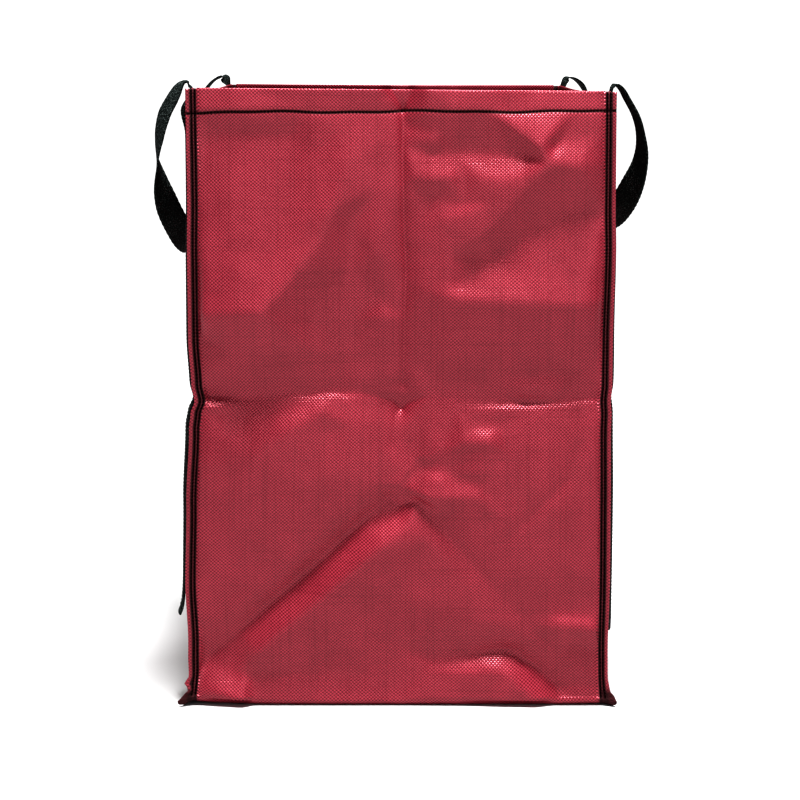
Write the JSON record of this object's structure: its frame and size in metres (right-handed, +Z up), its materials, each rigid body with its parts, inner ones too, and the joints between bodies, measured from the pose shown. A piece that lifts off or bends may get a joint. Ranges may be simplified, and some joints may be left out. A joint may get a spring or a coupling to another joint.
{
  "type": "heavy-duty storage bag",
  "caption": "Open-topped box-shaped bag of woven plastic cloth with standing seams, a hemmed rim and drooping webbing side handles.",
  "frame": {"origin": "centre of the base, on the floor", "axes": "+Z up from the base to the open rim, +X to the right of the front panel, +Y from front to back"},
  "size_m": [0.6016, 0.5128, 0.7703],
  "materials": {
    "red_cloth": "semi-gloss plain weave of flat tapes",
    "black_webbing": "matt woven webbing"
  },
  "bodies": {
    "root": {"body_strip": "red_cloth", "side_panel_left": "red_cloth", "side_panel_right": "red_cloth", "handle_left": "black_webbing", "handle_right": "black_webbing"}
  },
  "joints": []
}
